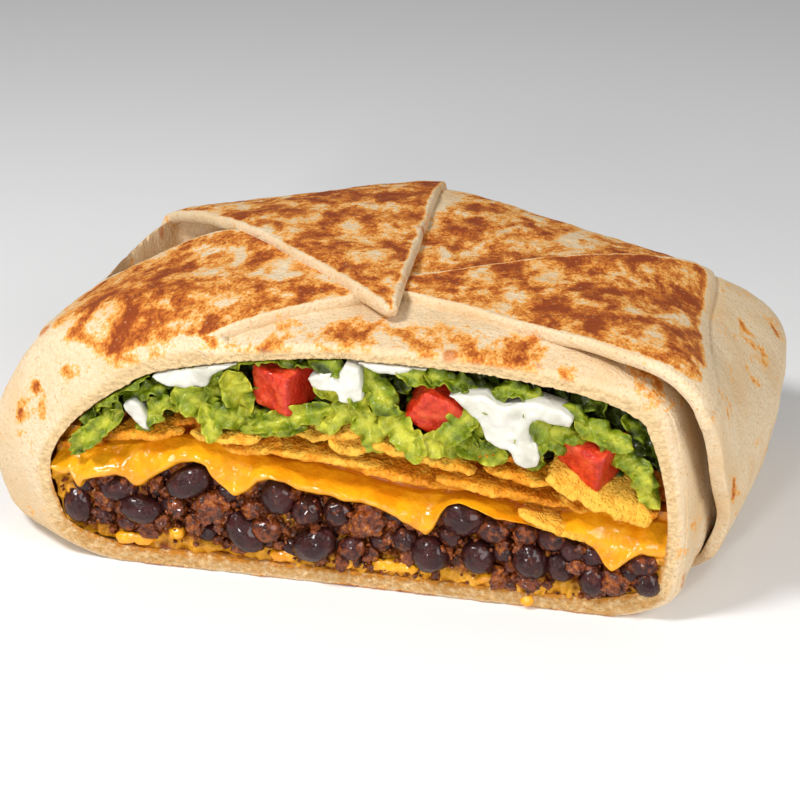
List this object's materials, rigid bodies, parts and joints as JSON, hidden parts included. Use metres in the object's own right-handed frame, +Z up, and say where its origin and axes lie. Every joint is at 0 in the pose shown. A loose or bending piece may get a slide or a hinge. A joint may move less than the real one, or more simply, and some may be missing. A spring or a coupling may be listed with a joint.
{
  "type": "crunchwrap",
  "caption": "Six-sided folded and grilled tortilla wrap, cut open to show beans, melted cheese, corn chips, lettuce, tomato and sour cream.",
  "frame": {"origin": "on the flat base, under the middle of the six-sided wrap", "axes": "+X along the cut to the right, +Y away from the cut, +Z up"},
  "size_m": [0.1599, 0.121, 0.0582],
  "materials": {
    "tortilla": "soft matte wheat tortilla, toasted in patches",
    "beans": "glossy cooked beans in sauce",
    "cheese": "glossy melted",
    "chips": "rough fried corn",
    "lettuce": "moist leaf",
    "tomato": "wet cut flesh",
    "sour_cream": "smooth and moist"
  },
  "bodies": {
    "root": {"tortilla": "tortilla", "bean_filling": "beans", "melted_cheese": "cheese", "corn_chips": "chips", "lettuce": "lettuce", "tomato_1": "tomato", "tomato_2": "tomato", "tomato_3": "tomato", "sour_cream_1": "sour_cream", "sour_cream_2": "sour_cream", "sour_cream_3": "sour_cream", "sour_cream_4": "sour_cream", "sour_cream_5": "sour_cream"}
  },
  "joints": []
}
